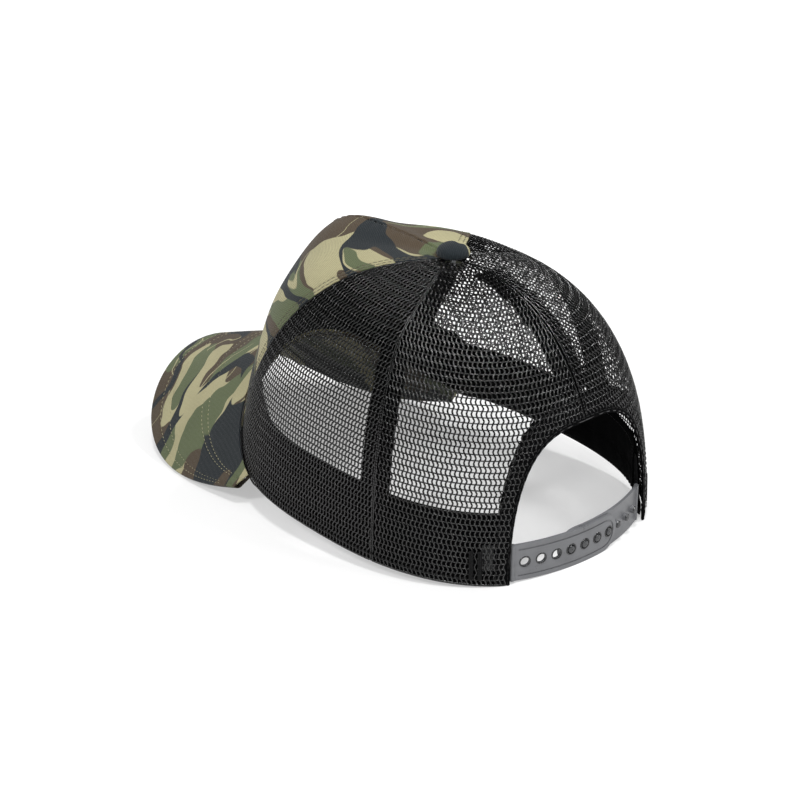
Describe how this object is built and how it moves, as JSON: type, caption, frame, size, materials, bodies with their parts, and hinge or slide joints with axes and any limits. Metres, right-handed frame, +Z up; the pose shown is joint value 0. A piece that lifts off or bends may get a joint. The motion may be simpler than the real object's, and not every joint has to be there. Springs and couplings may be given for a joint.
{
  "type": "trucker mesh cap",
  "caption": "Trucker cap with a camouflage lined front and curved visor, open mesh sides and back, sweatband, covered top button and adjustable snap strap.",
  "frame": {"origin": "on the table plane z = 0, straight below the middle of the whole cap's length and width", "axes": "+Z up from the table; the visor points to -Y; +X is the wearer's left. The hem plane is pitched nose-up by 6.1 degrees, as the cap stands on its rear hem and both sides of its visor"},
  "size_m": [0.15, 0.2776, 0.1283],
  "materials": {
    "camo_cloth": "printed cotton twill, khaki, brown, olive and navy-black blotches",
    "lining_foam": "black foam-backed lining",
    "black_tape": "black woven tape",
    "black_mesh": "black open knitted net, slightly shiny",
    "black_band": "black cotton twill",
    "visor_plastic": "stiff moulded sheet",
    "stitch_thread": "khaki sewing thread",
    "black_thread": "black sewing thread",
    "button_steel": "plated pressed steel",
    "strap_plastic": "dark grey semi-gloss moulded plastic"
  },
  "bodies": {
    "crown": {"front_panel": "camo_cloth", "front_lining": "lining_foam", "dart_tape": "black_tape", "mesh_side_left": "black_mesh", "mesh_side_right": "black_mesh", "mesh_back_left": "black_mesh", "mesh_back_right": "black_mesh", "front_seam_tape_left": "black_tape", "front_seam_tape_right": "black_tape", "side_seam_tape_left": "black_tape", "side_seam_tape_right": "black_tape", "back_seam_tape": "black_tape", "arch_binding": "black_tape", "sweatband_padding": "lining_foam", "sweatband_cover": "black_band", "visor_board": "visor_plastic", "visor_top_cloth": "camo_cloth", "visor_under_cloth": "camo_cloth", "visor_stitching": "stitch_thread", "button_cover": "camo_cloth", "button_shell": "button_steel", "button_post": "button_steel", "button_washer": "button_steel", "strap_left_tab": "strap_plastic", "strap_right_tab": "strap_plastic", "bar_tacks": "black_thread"},
    "strap_left": {"strap_left": "strap_plastic"},
    "strap_right": {"strap_right": "strap_plastic"}
  },
  "joints": [
    {"name": "strap_left_swing", "type": "hinge", "parent": "crown", "child": "strap_left", "pos_m": [0.03909, 0.12859, 0.00973], "axis": [0, -0.1063, -0.9943], "range_deg": [0, 65]},
    {"name": "strap_right_swing", "type": "hinge", "parent": "crown", "child": "strap_right", "pos_m": [-0.03846, 0.12724, 0.00987], "axis": [0, -0.1063, -0.9943], "range_deg": [0, 55]}
  ]
}
